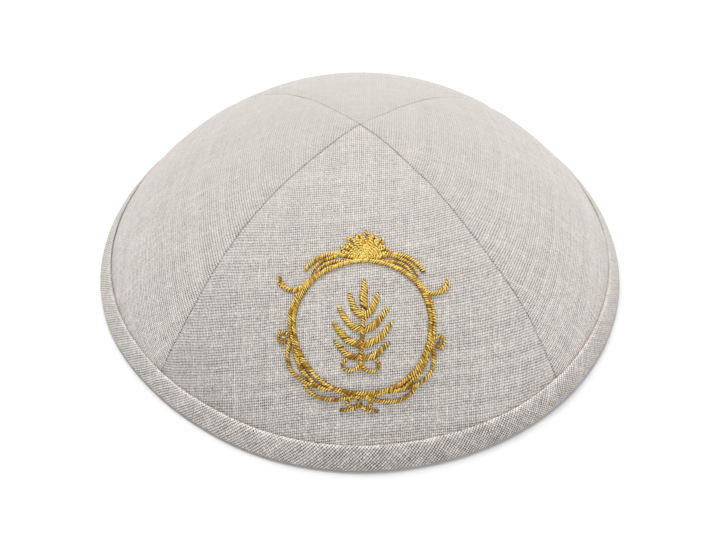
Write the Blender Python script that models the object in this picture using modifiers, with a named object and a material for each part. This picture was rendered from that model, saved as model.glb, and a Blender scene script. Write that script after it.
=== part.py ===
"""Four-panel linen skullcap with a bound rim and an embroidered ornament on its front panel.

Units are metres and +Z is up. The rim rests on z = 0 and the front panel faces -Y.
"""
import math
from collections import namedtuple

import bmesh
import bpy
import numpy as np
from mathutils import Vector

# Crown
RIM_DIAMETER = 0.165
CROWN_HEIGHT = 0.0504
PANEL_CLOTH = 0.0012
PANEL_COUNT = 4
RIM_TURN = math.radians(58)
TURN_POWER = 0.85

# Seams between the panels
CLEARANCE = 0.0003
SEAM_DIP = 0.0004
SEAM_SOFTNESS = 0.0030

# Binding folded over the panels' edge
BINDING_CLOTH = 0.0008
BINDING_WIDTH = 0.0070
BINDING_PUFF = 0.0003
BINDING_PROUD = 0.0005
TUCK_LENGTH = 0.0060
FOOT_ROUND = 0.0009

# Embroidery, placed on the front panel. A stroke's underside is nearly flat, and each next stroke
# lies a hair higher than the last, so that no two faces lie in one plane when they are joined.
RING_HALF_WIDTH = 0.0190
RING_STITCH = 0.0014
STRAND_STITCH = 0.0010
RELIEF = 0.0005
UNDERSIDE_SHARE = 0.15
LAYER_STEP = 0.000007
RING_RISE = 0.0372
RING_SHIFT = 0.0015
ORNAMENT_TURN = math.radians(1.8)

# How finely the shapes are divided
MERIDIAN_STEPS = 400
MERGE_REACH = 0.00001
PANEL_ROWS = 11
PANEL_COLUMNS = 12
RIM_STEPS = 84
ROUTE_STEP = 0.0022

FRONT = -math.pi / 2

Finish = namedtuple("Finish", "name color roughness metallic")
LINEN = Finish("warm_grey_linen", (0.62, 0.59, 0.55, 1.0), 0.92, 0.0)
BIAS_LINEN = Finish("bias_linen", (0.58, 0.55, 0.51, 1.0), 0.90, 0.0)
GOLD_THREAD = Finish("gold_thread", (0.56, 0.32, 0.06, 1.0), 0.42, 0.15)

# The ring's reach from its centre at twelve even clock places, twelve o'clock first and then
# clockwise, as shares of RING_HALF_WIDTH.
RING_REACH = (0.935, 0.92, 0.95, 0.99, 1.02, 0.985, 0.91, 0.97, 1.005, 1.0, 0.94, 0.93)

# Angles round the fold at the top of the binding's legs, from a leg's outside over to its inside,
# and shares of the way down the outer leg where its puffed face is given.
FOLD_ANGLES = (math.radians(30), math.radians(90), math.radians(150))
PUFF_SHARES = (0.2, 0.5, 0.8)

# Round of the binding's foot, as (inward, up) shares of FOOT_ROUND, from its side to the floor.
FOOT_CURVE = ((0.2, 0.3), (0.7, 0.0))
TOE_INSET = 0.5

# Strokes of the ornament. A route's places are (across, down) from the ring's centre as shares of
# RING_HALF_WIDTH, and a width is a share of STRAND_STITCH. A paired stroke has a mirror image.
Stroke = namedtuple("Stroke", "name paired width tip route")
FRAME_STROKES = (
    Stroke("crest_middle", False, 1.7, 0.5, ((0, -0.94), (0, -1.16), (0, -1.36))),
    Stroke("crest_inner", True, 1.6, 0.5, ((0.03, -0.96), (0.085, -1.13), (0.14, -1.30))),
    Stroke("crest_outer", True, 1.5, 0.5, ((0.04, -0.96), (0.165, -1.09), (0.275, -1.21))),
    Stroke("crest_foot", True, 1.4, 0.6, ((0.05, -0.95), (0.21, -1.04), (0.36, -1.09))),
    Stroke("stem", True, 1.0, 0.9, ((0.12, -0.96), (0.34, -1.01), (0.51, -0.985), (0.65, -0.91),
                                    (0.75, -0.81), (0.82, -0.69))),
    Stroke("low_leaf", True, 0.9, 0.7, ((0.22, -0.925), (0.45, -0.89), (0.59, -0.805), (0.67, -0.70))),
    Stroke("mid_leaf", True, 0.8, 0.7, ((0.47, -0.985), (0.60, -0.875), (0.70, -0.775), (0.75, -0.67))),
    Stroke("hook", True, 1.1, 1.1, ((0.79, -0.51), (0.875, -0.435), (0.98, -0.38), (1.085, -0.37),
                                    (1.20, -0.425))),
    Stroke("curl", True, 0.8, 0.9, ((0.98, 0.26), (1.07, 0.235), (1.145, 0.27), (1.175, 0.335),
                                    (1.145, 0.40), (1.085, 0.405), (1.07, 0.35))),
    Stroke("garland", True, 1.0, 1.0, ((0.985, 0.22), (1.04, 0.42), (1.04, 0.58), (1.0, 0.70),
                                       (0.90, 0.785), (0.77, 0.835), (0.63, 0.85), (0.48, 0.85))),
    Stroke("cross", True, 0.9, 0.9, ((0.94, 0.45), (0.845, 0.655), (0.695, 0.785), (0.53, 0.87))),
    Stroke("loop", True, 0.9, 0.9, ((0.77, 0.825), (0.72, 0.92), (0.625, 0.99), (0.485, 1.02),
                                    (0.35, 1.01), (0.225, 0.965), (0.13, 0.915))),
    Stroke("bow_loop", True, 0.8, 0.9, ((0.17, 0.92), (0.21, 1.02), (0.16, 1.10), (0.08, 1.075))),
    Stroke("bow_foot", True, 0.9, 0.9, ((0.025, 0.92), (0.03, 1.03), (0.09, 1.105), (0.21, 1.14))),
)
MOTIF_STROKES = (
    Stroke("stalk", False, 1.0, 0.9, ((0, 0.56), (0, 0.20), (0, -0.20), (0, -0.40))),
    Stroke("top_leaf", False, 2.2, 0.4, ((0, -0.30), (0, -0.48), (0, -0.66))),
    Stroke("high_leaf", True, 1.9, 0.4, ((0.01, -0.16), (0.12, -0.27), (0.20, -0.48))),
    Stroke("upper_leaf", True, 2.0, 0.4, ((0.01, 0.03), (0.18, -0.06), (0.34, -0.27))),
    Stroke("lower_leaf", True, 2.0, 0.4, ((0.01, 0.23), (0.22, 0.15), (0.40, -0.05))),
    Stroke("base_leaf", True, 1.8, 0.4, ((0.01, 0.41), (0.20, 0.36), (0.37, 0.20))),
    Stroke("tendril", True, 0.8, 0.9, ((0.01, 0.50), (0.10, 0.58), (0.215, 0.57), (0.255, 0.49),
                                       (0.20, 0.435))),
)


def smooth_step(share):
    """Ease from 0 to 1 as the share goes from 0 to 1."""
    clipped = min(max(share, 0.0), 1.0)
    return clipped * clipped * (3 - 2 * clipped)


def turned_profile():
    """Arc length, radius and height along the crown, from its top to the rim.

    The slope turns down as a power of the way to the rim, and the curve is then fitted to the
    rim's radius and the crown's height.
    """
    share = np.linspace(0, 1, MERIDIAN_STEPS + 1)
    slope = RIM_TURN * ((share[1:] + share[:-1]) / 2) ** TURN_POWER
    out = np.concatenate(([0], np.cumsum(np.cos(slope))))
    down = np.concatenate(([0], np.cumsum(np.sin(slope))))
    foot = FOOT_ROUND / math.tan(RIM_TURN) - BINDING_PROUD / math.sin(RIM_TURN)
    radius = out * (RIM_DIAMETER / 2 + foot) / out[-1]
    height = CROWN_HEIGHT * (1 - down / down[-1])
    arc = np.concatenate(([0], np.cumsum(np.hypot(np.diff(radius), np.diff(height)))))
    return arc, radius, height


ARC, RADIUS, HEIGHT = turned_profile()
RIM_ARC = ARC[-1]
BINDING_TOP = RIM_ARC - BINDING_WIDTH

# The panels tuck in under the binding, so that its outer face stands only a little proud.
EDGE_TUCK = CLEARANCE + BINDING_CLOTH - BINDING_PROUD

# The panels' cut edge stops above the fold of the binding by the clearance. It is square to the
# wall, so its inner corner is the lowest.
RIM_SLOPE = math.atan2(HEIGHT[-2] - HEIGHT[-1], RADIUS[-1] - RADIUS[-2])
PANEL_EDGE = RIM_ARC - (
    BINDING_CLOTH + CLEARANCE + (EDGE_TUCK + PANEL_CLOTH) * math.cos(RIM_SLOPE)
) / math.sin(RIM_SLOPE)


def profile_at(arc, lift=0.0):
    """Radius and height of the crown's outer face at an arc from its top, lifted off squarely."""
    step = RIM_ARC / MERIDIAN_STEPS
    before, after = arc - step, arc + step
    run = np.interp(after, ARC, RADIUS) - np.interp(before, ARC, RADIUS)
    drop = np.interp(before, ARC, HEIGHT) - np.interp(after, ARC, HEIGHT)
    length = math.hypot(run, drop)
    radius = np.interp(arc, ARC, RADIUS) + lift * drop / length
    height = np.interp(arc, ARC, HEIGHT) + lift * run / length
    return radius, height


def tuck_at(arc):
    """How far the panels' outer face is drawn in towards the binding."""
    return EDGE_TUCK * smooth_step((arc - BINDING_TOP + TUCK_LENGTH) / TUCK_LENGTH)


def crown_point(arc, angle, lift=0.0):
    """Point off the crown's outer face, at an arc from its top and an angle about Z."""
    radius, height = profile_at(arc, lift)
    return Vector((radius * math.cos(angle), radius * math.sin(angle), height))


def new_object(name, mesh, finish, collection):
    """Object with its own material, in its collection."""
    material = bpy.data.materials.new(f"{name}_{finish.name}")
    material.use_nodes = True
    shader = material.node_tree.nodes["Principled BSDF"]
    shader.inputs["Base Color"].default_value = finish.color
    shader.inputs["Roughness"].default_value = finish.roughness
    shader.inputs["Metallic"].default_value = finish.metallic
    mesh.materials.clear()
    mesh.materials.append(material)
    mesh.shade_smooth()
    part = bpy.data.objects.new(name, mesh)
    collection.objects.link(part)
    return part


# Panels

def column_angles(radius):
    """Angles across a panel at one radius, closer together where it dips to its seams."""
    half = math.pi / PANEL_COUNT
    seam = math.asin(min(CLEARANCE / 2 / radius, math.sin(half)))
    soft = min(SEAM_SOFTNESS / radius, half / 3)
    inner = max(half - soft, 0)
    edge = max(half - seam, 0)
    near = (inner + edge) / 2
    middle = [inner * (2 * step / PANEL_COLUMNS - 1) for step in range(PANEL_COLUMNS + 1)]
    return [-edge, -near, *middle, near, edge]


def seam_dip(radius, angle):
    """Depth of the soft valley beside a seam, for an angle from the panel's centre line."""
    distance = radius * (math.pi / PANEL_COUNT - abs(angle))
    return SEAM_DIP * (1 - smooth_step(distance / SEAM_SOFTNESS))


def panel_arcs():
    """Arcs of a panel's rows, below its tip: even ones, then the tuck, then the cut edge."""
    start = SEAM_SOFTNESS
    stop = BINDING_TOP - TUCK_LENGTH
    even = [start + (stop - start) * row / PANEL_ROWS for row in range(PANEL_ROWS + 1)]
    return [*even, BINDING_TOP - TUCK_LENGTH / 2, BINDING_TOP, PANEL_EDGE]


def panel_mesh():
    """Outer face of one panel, lofted from its tip down to the rim and facing +X."""
    shape = bmesh.new()
    tip_radius = CLEARANCE / 2 / math.sin(math.pi / PANEL_COUNT)
    tip = shape.verts.new(crown_point(tip_radius, 0, -SEAM_DIP))
    rows = []
    for arc in panel_arcs():
        radius = profile_at(arc)[0]
        row = []
        for angle in column_angles(radius):
            lift = -tuck_at(arc) - seam_dip(radius, angle)
            row.append(shape.verts.new(crown_point(arc, angle, lift)))
        rows.append(row)
    for left, right in zip(rows[0], rows[0][1:]):
        shape.faces.new((tip, left, right))
    for upper, lower in zip(rows, rows[1:]):
        for column in range(len(upper) - 1):
            shape.faces.new((upper[column], lower[column], lower[column + 1], upper[column + 1]))
    bmesh.ops.recalc_face_normals(shape, faces=shape.faces)
    if shape.faces[0].normal.z < 0:
        bmesh.ops.reverse_faces(shape, faces=shape.faces)
    mesh = bpy.data.meshes.new("panel")
    shape.to_mesh(mesh)
    shape.free()
    return mesh


def make_panel(name, angle, collection):
    """One crown panel: its outer face, turned to its place and thickened inwards."""
    panel = new_object(name, panel_mesh(), LINEN, collection)
    panel.rotation_euler.z = angle
    wall = panel.modifiers.new("cloth", "SOLIDIFY")
    wall.thickness = PANEL_CLOTH
    wall.offset = -1
    wall.use_even_offset = True
    return panel


# Binding

def binding_section():
    """Closed section of the binding as (radius, height), down its outer leg first."""
    outer_in = CLEARANCE - EDGE_TUCK
    outer_out = outer_in + BINDING_CLOTH
    inner_out = -EDGE_TUCK - PANEL_CLOTH - CLEARANCE
    inner_in = inner_out - BINDING_CLOTH
    fold = BINDING_CLOTH / 2
    channel = PANEL_EDGE + CLEARANCE

    def leg_fold(inside, outside):
        """Round fold at the top of a leg, from its one face over to its other."""
        middle = (inside + outside) / 2
        reach = (inside - outside) / 2
        return [profile_at(BINDING_TOP + fold * (1 - math.sin(turn)), middle + reach * math.cos(turn))
                for turn in FOLD_ANGLES]

    def floor_arc(lift, height):
        """Arc at which the lifted wall comes down to a height."""
        base = profile_at(RIM_ARC, lift)[1]
        return RIM_ARC - (height - base) / math.sin(RIM_SLOPE)

    section = [profile_at(BINDING_TOP + fold, outer_in)]
    section += leg_fold(outer_in, outer_out)
    outer_foot = floor_arc(outer_out, FOOT_ROUND)
    for share in PUFF_SHARES:
        arc = BINDING_TOP + (outer_foot - BINDING_TOP) * share
        section.append(profile_at(arc, outer_out + BINDING_PUFF * math.sin(math.pi * share)))
    foot_radius, foot_height = profile_at(outer_foot, outer_out)
    section.append((foot_radius, foot_height))
    for inward, up in FOOT_CURVE:
        section.append((foot_radius - inward * FOOT_ROUND, up * FOOT_ROUND))
    inner_foot = floor_arc(inner_in, FOOT_ROUND)
    toe_radius, toe_height = profile_at(inner_foot, inner_in)
    section.append((toe_radius + TOE_INSET * FOOT_ROUND, 0.0))
    section.append((toe_radius, toe_height))
    section.append(profile_at((inner_foot + BINDING_TOP) / 2, inner_in))
    section += leg_fold(inner_in, inner_out)
    section.append(profile_at(channel, inner_out))
    section.append(profile_at(channel, outer_in))
    return section


def make_binding(collection):
    """The bound rim: its section turned once about Z."""
    section = binding_section()
    count = len(section)
    mesh = bpy.data.meshes.new("rim_binding")
    edges = [(index, (index + 1) % count) for index in range(count)]
    mesh.from_pydata([(radius, 0, height) for radius, height in section], edges, [])
    binding = new_object("rim_binding", mesh, BIAS_LINEN, collection)
    turn = binding.modifiers.new("turn", "SCREW")
    turn.angle = 2 * math.pi
    turn.steps = RIM_STEPS
    turn.render_steps = RIM_STEPS
    turn.use_merge_vertices = True
    turn.merge_threshold = MERGE_REACH
    return binding


# Embroidery

def smooth_route(places, closed=False):
    """Evenly stepped points of the smooth curve through some places in the ornament's plane."""
    places = [Vector(place) for place in places]
    if closed:
        places = [places[-1], *places, places[0], places[1]]
    else:
        places = [2 * places[0] - places[1], *places, 2 * places[-1] - places[-2]]
    route = []
    for before, start, end, after in zip(places, places[1:], places[2:], places[3:]):
        count = max(1, round((end - start).length / ROUTE_STEP))
        for step in range(count):
            t = step / count
            route.append(0.5 * (2 * start + (end - before) * t
                                + (2 * before - 5 * start + 4 * end - after) * t ** 2
                                + (3 * start - before - 3 * end + after) * t ** 3))
    if not closed:
        route.append(places[-2])
    return route


def stroke_object(name, route, width, tip, closed=False):
    """A flattened, tapering stroke of stitches in the plane, as a closed mesh object."""
    curve = bpy.data.curves.new(name, "CURVE")
    curve.dimensions = "3D"
    curve.twist_mode = "Z_UP"
    curve.bevel_depth = width / 2
    curve.bevel_resolution = 1
    curve.use_fill_caps = True
    spline = curve.splines.new("POLY")
    spline.points.add(len(route) - 1)
    spline.use_cyclic_u = closed
    for index, (point, place) in enumerate(zip(spline.points, route)):
        share = index / max(len(route) - 1, 1)
        point.co = (place.x, place.y, 0, 1)
        point.radius = 1 if closed else 1 - (1 - tip) * share ** 3
    guide = bpy.data.objects.new(name, curve)
    bpy.context.scene.collection.objects.link(guide)
    bpy.context.view_layer.update()
    mesh = bpy.data.meshes.new_from_object(guide.evaluated_get(bpy.context.evaluated_depsgraph_get()))
    bpy.data.objects.remove(guide)
    shape = bmesh.new()
    shape.from_mesh(mesh)
    bmesh.ops.remove_doubles(shape, verts=shape.verts, dist=MERGE_REACH)
    top = RELIEF / (width / 2)
    for vert in shape.verts:
        vert.co.z *= top if vert.co.z > 0 else UNDERSIDE_SHARE * top
    bmesh.ops.recalc_face_normals(shape, faces=shape.faces)
    shape.to_mesh(mesh)
    shape.free()
    solid = bpy.data.objects.new(name, mesh)
    bpy.context.scene.collection.objects.link(solid)
    return solid


def stroke_routes(strokes):
    """Each stroke's name, route, width and tip, with mirror images, in the ornament's plane."""
    for stroke in strokes:
        sides = ((1, "right"), (-1, "left")) if stroke.paired else ((1, "middle"),)
        for side, label in sides:
            places = [(side * across * RING_HALF_WIDTH, -down * RING_HALF_WIDTH)
                      for across, down in stroke.route]
            width = stroke.width * STRAND_STITCH
            yield f"{stroke.name}_{label}", smooth_route(places), width, stroke.tip


def join_strokes(name, pieces):
    """One closed mesh from overlapping stroke objects, which are used up."""
    whole = pieces[0]
    for layer, piece in enumerate(pieces[1:], start=1):
        piece.location.z = layer * LAYER_STEP
        union = whole.modifiers.new(piece.name, "BOOLEAN")
        union.operation = "UNION"
        union.solver = "EXACT"
        union.object = piece
    bpy.context.view_layer.update()
    joined = whole.evaluated_get(bpy.context.evaluated_depsgraph_get())
    mesh = bpy.data.meshes.new_from_object(joined)
    mesh.name = name
    for piece in pieces:
        bpy.data.objects.remove(piece)
    return mesh


def wrap_on_crown(mesh):
    """Turn the flat ornament, lay it on the front panel and split its faces into triangles."""
    ring_arc = RIM_ARC - RING_RISE
    shape = bmesh.new()
    shape.from_mesh(mesh)
    bmesh.ops.remove_doubles(shape, verts=shape.verts, dist=MERGE_REACH)
    bmesh.ops.triangulate(shape, faces=shape.faces)
    lowest = min(vert.co.z for vert in shape.verts)
    cos_turn, sin_turn = math.cos(ORNAMENT_TURN), math.sin(ORNAMENT_TURN)
    for vert in shape.verts:
        across = RING_SHIFT + vert.co.x * cos_turn + vert.co.y * sin_turn
        rise = vert.co.y * cos_turn - vert.co.x * sin_turn
        arc = ring_arc - rise
        angle = FRONT + across / profile_at(arc)[0]
        lift = CLEARANCE + vert.co.z - lowest - tuck_at(arc)
        vert.co = crown_point(arc, angle, lift)
    bmesh.ops.recalc_face_normals(shape, faces=shape.faces)
    shape.to_mesh(mesh)
    shape.free()
    return mesh


def ring_route():
    """The ring's closed route, from its reach at each clock place."""
    places = []
    for hour, reach in enumerate(RING_REACH):
        turn = math.radians(360 / len(RING_REACH) * hour)
        distance = reach * RING_HALF_WIDTH
        places.append((distance * math.sin(turn), distance * math.cos(turn)))
    return smooth_route(places, closed=True)


def make_embroidery_frame(collection):
    """Ring with its crest, leaves, hooks, curls, garlands and bow."""
    pieces = [stroke_object("ring", ring_route(), RING_STITCH, 1, closed=True)]
    pieces += [stroke_object(*row) for row in stroke_routes(FRAME_STROKES)]
    mesh = wrap_on_crown(join_strokes("embroidery_frame", pieces))
    return new_object("embroidery_frame", mesh, GOLD_THREAD, collection)


def make_embroidery_motif(collection):
    """Upright sprig of leaves inside the ring."""
    pieces = [stroke_object(*row) for row in stroke_routes(MOTIF_STROKES)]
    mesh = wrap_on_crown(join_strokes("embroidery_motif", pieces))
    return new_object("embroidery_motif", mesh, GOLD_THREAD, collection)


def main():
    for old in list(bpy.data.objects):
        bpy.data.objects.remove(old)
    skullcap = bpy.data.collections.new("skullcap")
    bpy.context.scene.collection.children.link(skullcap)
    make_panel("panel_front", FRONT, skullcap)
    make_panel("panel_right", 0, skullcap)
    make_panel("panel_back", -FRONT, skullcap)
    make_panel("panel_left", math.pi, skullcap)
    make_binding(skullcap)
    make_embroidery_frame(skullcap)
    make_embroidery_motif(skullcap)


main()
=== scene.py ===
import math
from collections import namedtuple

import bpy
import numpy as np
from mathutils import Matrix, Vector


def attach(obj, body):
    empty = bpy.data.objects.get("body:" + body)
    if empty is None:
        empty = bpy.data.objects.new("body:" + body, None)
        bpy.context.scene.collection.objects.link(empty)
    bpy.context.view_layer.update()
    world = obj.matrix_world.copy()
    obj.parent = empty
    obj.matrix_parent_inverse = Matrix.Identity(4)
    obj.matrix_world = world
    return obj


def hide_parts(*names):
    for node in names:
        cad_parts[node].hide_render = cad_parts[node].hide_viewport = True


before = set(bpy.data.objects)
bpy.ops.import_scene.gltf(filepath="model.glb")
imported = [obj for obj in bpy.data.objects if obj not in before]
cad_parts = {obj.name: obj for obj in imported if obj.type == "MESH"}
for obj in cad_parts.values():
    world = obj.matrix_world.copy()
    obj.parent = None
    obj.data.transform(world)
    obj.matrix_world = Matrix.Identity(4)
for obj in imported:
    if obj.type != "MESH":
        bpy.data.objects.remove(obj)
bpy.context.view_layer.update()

MM = 0.001

# The cap's own sizes, in metres, as in the part's source
RIM_DIAMETER = 0.165
CROWN_HEIGHT = 0.0504
PANEL_CLOTH = 0.0012
RIM_TURN = math.radians(58)
TURN_POWER = 0.85
CLEARANCE = 0.0003
BINDING_CLOTH = 0.0008
BINDING_WIDTH = 0.0070
BINDING_PUFF = 0.0003
BINDING_PROUD = 0.0005
TUCK_LENGTH = 0.0060
FOOT_ROUND = 0.0009
RING_HALF_WIDTH = 0.0190
STRAND_STITCH = 0.0010
RELIEF = 0.0005
RING_RISE = 0.0372
RING_SHIFT = 0.0015
ORNAMENT_TURN = math.radians(1.8)
MERIDIAN_STEPS = 400
FRONT = -math.pi / 2

# Each gore: its middle about Z, the seams at its two sides, its rows and columns of points, the
# tilt of its threads, the painted light added at its foot (painted shade where below zero), and
# what is added to that towards its left
Panel = namedtuple("Panel", "name centre left_seam right_seam rows columns tilt foot_tone "
                            "left_tone")
PANELS = (
    Panel("front", FRONT, "front_left", "front_right", 150, 170, 0.12, -0.38, -0.40),
    Panel("right", 0.0, "front_right", "back_right", 112, 124, -0.03, 0.15, 0.0),
    Panel("back", math.pi / 2, "back_right", "back_left", 112, 124, 0.03, 0.0, 0.0),
    Panel("left", math.pi, "back_left", "front_left", 112, 124, -0.12, 0.10, 0.0),
)
LEFT_PAINTED_LIGHT_REACH = 45
PANEL_SEED = 100

# Camera, from the fit to the photograph: in radians, rim radii and mm
VIEW_ELEVATION = 0.7997
VIEW_TURN = 0.0153
VIEW_DISTANCE = 3.7306
VIEW_RIGHT = 0.0067
VIEW_UP = 0.0847
VIEW_LENS = 47.68
SENSOR_WIDTH = 36.0

# Ornament: routes are shares of RING_HALF_WIDTH from the ring's centre, across and down.
# The ring's own reach is given every 30 degrees clockwise from its top, and the second
# strand's distance outside it likewise.
RING_REACH = (0.95, 0.93, 0.94, 0.965, 0.985, 0.945, 0.895, 0.93, 0.955, 0.965, 0.93, 0.93)
RING_SECOND = (0.0, 0.0, 0.03, 0.055, 0.035, 0.0, 0.05, 0.0, 0.035, 0.055, 0.03, 0.0)

# Each stroke: name, mirrored or not, width in strands, width left at its tip, route
FRAME_STROKES = (
    ("stem", True, 1.1, 0.8, ((0.12, -0.97), (0.34, -1.01), (0.51, -0.985), (0.65, -0.91),
                               (0.76, -0.81), (0.84, -0.70))),
    ("low_leaf", True, 0.85, 0.7, ((0.22, -0.935), (0.45, -0.89), (0.59, -0.805), (0.67, -0.70))),
    ("mid_leaf", True, 0.75, 0.6, ((0.40, -0.985), (0.57, -0.895), (0.68, -0.79), (0.75, -0.67))),
    ("brow", True, 0.9, 0.5, ((0.02, -0.99), (0.18, -1.035), (0.31, -1.04), (0.43, -1.01))),
    ("hook", True, 1.15, 1.1, ((0.79, -0.51), (0.875, -0.435), (0.98, -0.38), (1.085, -0.37),
                               (1.175, -0.41))),
    ("hook_tip", True, 1.1, 0.6, ((1.12, -0.38), (1.185, -0.43), (1.215, -0.505))),
    ("hook_barb", True, 0.8, 0.6, ((1.10, -0.37), (1.18, -0.375), (1.235, -0.42))),
    ("curl", True, 0.85, 0.9, ((0.98, 0.24), (1.07, 0.22), (1.15, 0.25), (1.175, 0.32),
                               (1.125, 0.375), (1.07, 0.335), (1.10, 0.295))),
    ("garland", True, 1.1, 1.0, ((0.985, 0.22), (1.02, 0.42), (1.02, 0.58), (0.97, 0.70),
                                 (0.87, 0.775), (0.74, 0.825), (0.60, 0.85), (0.42, 0.875))),
    ("cross", True, 1.0, 0.9, ((0.95, 0.42), (0.84, 0.64), (0.70, 0.775), (0.52, 0.865))),
    ("second_cross", True, 0.7, 0.9, ((0.93, 0.34), (0.885, 0.52), (0.77, 0.68), (0.63, 0.80),
                                      (0.50, 0.86))),
    ("loop", True, 1.0, 0.9, ((0.79, 0.80), (0.73, 0.90), (0.63, 0.975), (0.48, 1.01),
                              (0.33, 1.005), (0.20, 0.97), (0.09, 0.93))),
    ("bow_loop", True, 0.85, 0.9, ((0.0, 0.94), (0.11, 0.955), (0.165, 1.02), (0.12, 1.085),
                                   (0.03, 1.075), (0.01, 1.0))),
    ("bow_foot", True, 0.9, 0.8, ((0.0, 1.03), (0.05, 1.09), (0.14, 1.125), (0.25, 1.135))),
)

# The crest is a fan of petals from one place on the ring: each one's lean in degrees and length
CREST_PETALS = (
    (-66, 0.36), (-52, 0.33), (-38, 0.385), (-27, 0.34), (-16, 0.38), (-7, 0.33), (2, 0.41),
    (12, 0.33), (21, 0.375), (31, 0.32), (41, 0.375), (54, 0.31), (67, 0.35),
)
CREST_FOOT = (-0.01, -0.96)
PETAL_WIDTH = 0.85
DROP_WIDTH = 2.0

# The leaf sprig inside the ring, its strokes as above
MOTIF_STROKES = (
    ("stalk", False, 1.0, 0.9, ((0, 0.56), (0, 0.20), (0, -0.20), (0, -0.40))),
    ("top_leaf", False, 2.2, 0.4, ((0, -0.30), (0, -0.48), (0, -0.66))),
    ("high_leaf", True, 1.9, 0.4, ((0.01, -0.16), (0.12, -0.27), (0.20, -0.48))),
    ("upper_leaf", True, 2.0, 0.4, ((0.01, 0.03), (0.18, -0.06), (0.34, -0.27))),
    ("lower_leaf", True, 2.0, 0.4, ((0.01, 0.23), (0.22, 0.15), (0.40, -0.05))),
    ("base_leaf", True, 1.8, 0.4, ((0.01, 0.41), (0.20, 0.36), (0.37, 0.20))),
    ("tendril", True, 0.8, 0.9, ((0.01, 0.50), (0.10, 0.58), (0.215, 0.57), (0.255, 0.49),
                                 (0.20, 0.435))),
)

# Widths in mm of the ring and of its second strand
RING_WIDTH = 1.15
SECOND_WIDTH = 0.95

# How far each seam strays sideways, in mm, at shares of the way down it. A positive value is
# counterclockwise as seen from above.
SEAM_WANDER = {
    "front_left": ((0.15, 0.0), (0.30, -0.7), (0.45, -0.9), (0.60, -0.2), (0.80, 0.9), (0.95, 0.2)),
    "front_right": ((0.15, 0.0), (0.22, -0.4), (0.28, 0.0), (0.45, -0.4), (0.60, 0.0), (0.73, 0.6),
                    (0.85, 0.0)),
    "back_left": ((0.08, 0.1), (0.22, -1.0), (0.37, -1.6), (0.60, -0.8), (0.85, 0.3)),
    "back_right": ((0.08, -0.9), (0.20, -0.6), (0.35, 0.2), (0.60, 0.5), (0.85, -0.3)),
}

# How deep each seam is, as a share of the front ones
SEAM_DEPTH = {"front_left": 1.0, "front_right": 1.0, "back_right": 0.5, "back_left": 0.62}

# Distances in mm from a seam of the columns packed close to it
SEAM_COLUMNS = (0.0, 0.07, 0.18, 0.33, 0.50, 0.70, 1.0, 1.5, 2.2, 3.0)

# A seam in mm: its rolled edges and their gap, the dip beside it, its stitches, their pinch, the
# painted shade in its crease, the hole where the seams meet, and the allowances inside
SEAM_ROLL = 0.42
SEAM_GAP = 0.03
SEAM_VALLEY = 0.28
VALLEY_REACH = 3.6
STITCH_STRAY = 0.13
STITCH_PITCH = 2.3
PINCH = 0.05
PINCH_REACH = 0.7
CREASE_PAINTED_SHADE = 0.25
CREASE_SHADE_REACH = 0.35
TOP_HOLE = 0.12
ALLOWANCE_LIFT = 0.35
ALLOWANCE_WIDTH = 6.0

# Unevenness of the cloth in mm: its height, and its length in each of two directions
BROAD_WAVE = (0.15, 17, 15)
SMALL_WAVE = (0.05, 6, 7)
SEAM_PUCKER = (0.09, 5.5, 60)
STRIP_PUCKER = (0.09, 5.0, 40)
PUCKER_REACH = 4.0
FREE_AT = 5.0

# How the cloth is drawn down beside the stitches, in mm
PRESS_DEPTH = 0.10
PRESS_REACH = 1.0

# How far the rim's foot stands out, in mm at degrees about Z, the degrees over which that is
# evened out, and how far up it reaches, in metres
RIM_BULGE = (
    (-154, 0.0), (-137, -0.7), (-122, -0.3), (-106, 1.0), (-90, 1.5), (-75, 1.3), (-60, 1.05),
    (-45, 0.8), (-30, 0.3), (-18, 0.0),
)
BULGE_BLUR = 11
BULGE_REACH = 0.018

# The strip: its columns, its contact with the panels in metres, the painted highlight on its fold
# and painted shade on its hidden side, and where it is puckered and where painted shade darkens it
BINDING_COLUMNS = 900
FOLD_CONTACT = 0.00024
FOLD_HIGHLIGHT = 1.2
HIDDEN_SHADE = -0.5
PUCKERED_AT = math.radians(-50)
PUCKERED_REACH = 0.11
PUCKERED_BY = 2.4
PAINTED_SHADE_AT = math.radians(-70)
PAINTED_SHADE_REACH = math.radians(34)
PAINTED_SHADE_BY = 0.6

# Cloth grain in mm: the dome it is laid on, the weft's bow, and where that takes over
DOME = 92.7
WEFT_BOW = 0.36
WEFT_REACH = 26.0
BOW_FROM = 8
BOW_OVER = 40

# Shifts of the cloth in mm, so that no two panels or faces have the same threads
PANEL_SHIFT = (300, 170)
INNER_SHIFT = (61.0, 37.0)

# How strongly the weave and its painted shade and light show, at the back as a share of the
# front, and the powers of its fading
WEAVE_TOP = 0.45
WEAVE_RIM = 0.94
WEAVE_STRIP = 1.07
WEAVE_BACK = 0.32
WEAVE_FADE = 2.2
STRIP_FADE = 1.4

# Linen: spacing and stray of its threads in mm, bumps of the stray in a mm, and colours, the last
# that of the deepest painted shade. Tones are shares of the colour, from DARKEST to LIGHTEST.
WARP_PITCH = 0.56
WEFT_PITCH = 0.70
DRIFT = 0.6
DRIFT_SCALE = 0.11
JITTER = 0.32
JITTER_SCALE = 0.95
PANEL_COLOR = (0.534, 0.5075, 0.4755, 1)
STRIP_COLOR = (0.50, 0.475, 0.444, 1)
DEEP_TONE = (0.030, 0.021, 0.012, 1)
DARKEST = 0.06
LIGHTEST = 1.7

# Threads: seed, length of their slubs in mm, the slubs' tone, and half a width in pitches
WARP = (11.0, 22.0, 0.17, 0.29)
WEFT = (47.0, 9.0, 0.11, 0.38)

# How dark the painted shade is in the line between two weft threads
STRIP_WEFT_LINE = 0.48
FRONT_WEFT_LINE = 0.15
SIDE_WEFT_LINE = 0.34

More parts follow.
